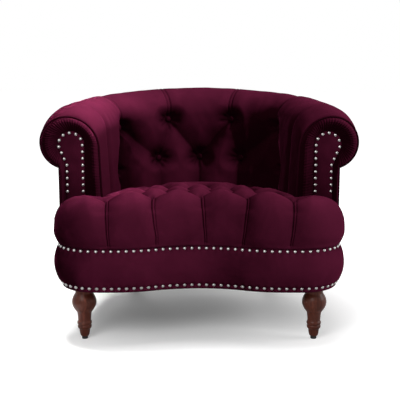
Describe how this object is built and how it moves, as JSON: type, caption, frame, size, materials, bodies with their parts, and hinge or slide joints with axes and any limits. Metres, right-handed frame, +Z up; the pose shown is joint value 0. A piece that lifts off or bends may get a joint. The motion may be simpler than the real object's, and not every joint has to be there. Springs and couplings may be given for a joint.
{
  "type": "tufted accent chair",
  "caption": "Barrel-backed upholstered armchair with rolled arms, deep-buttoned back and serpentine seat, nail-trimmed band and turned front legs.",
  "frame": {"origin": "on the floor under the middle of the chair's bounding box", "axes": "+X to the right seen from the front, -Y towards the front, +Z up"},
  "size_m": [1.0304, 0.8584, 0.774],
  "materials": {
    "velvet": "plum velvet",
    "welt": "plum velvet cord",
    "black_cloth": "black cambric",
    "webbing": "jute webbing",
    "nickel": "polished nickel",
    "steel": "zinc plated",
    "glide": "black nylon",
    "turned_wood": "satin walnut stain",
    "frame_wood": "sawn hardwood"
  },
  "bodies": {
    "root": {"back_buttons": "velvet", "back_rail": "frame_wood", "back_tack_rail": "frame_wood", "back_top_rail": "frame_wood", "deck_cloth": "black_cloth", "dust_cover": "black_cloth", "foot_glides": "glide", "front_band": "velvet", "front_rail": "frame_wood", "inside_back": "velvet", "left_arm_facing": "velvet", "left_arm_front_border": "velvet", "left_arm_nailheads": "nickel", "left_arm_stump": "frame_wood", "left_arm_tack_rail": "frame_wood", "left_arm_top_rail": "frame_wood", "left_arm_welt": "welt", "left_back_post": "frame_wood", "left_back_upright": "frame_wood", "left_facing_panel": "velvet", "left_front_corner_block": "frame_wood", "left_front_leg": "turned_wood", "left_inside_arm": "velvet", "left_outside_arm": "velvet", "left_rear_corner_block": "frame_wood", "left_rear_leg": "turned_wood", "left_side_rail": "frame_wood", "leg_bolts": "steel", "leg_plates": "steel", "lower_nailheads": "nickel", "outside_back": "velvet", "right_arm_facing": "velvet", "right_arm_front_border": "velvet", "right_arm_nailheads": "nickel", "right_arm_stump": "frame_wood", "right_arm_tack_rail": "frame_wood", "right_arm_top_rail": "frame_wood", "right_arm_welt": "welt", "right_back_post": "frame_wood", "right_back_upright": "frame_wood", "right_facing_panel": "velvet", "right_front_corner_block": "frame_wood", "right_front_leg": "turned_wood", "right_inside_arm": "velvet", "right_outside_arm": "velvet", "right_rear_corner_block": "frame_wood", "right_rear_leg": "turned_wood", "right_side_rail": "frame_wood", "seat_buttons": "velvet", "seat_cushion": "velvet", "seat_webbing": "webbing", "upper_nailheads": "nickel"}
  },
  "joints": []
}
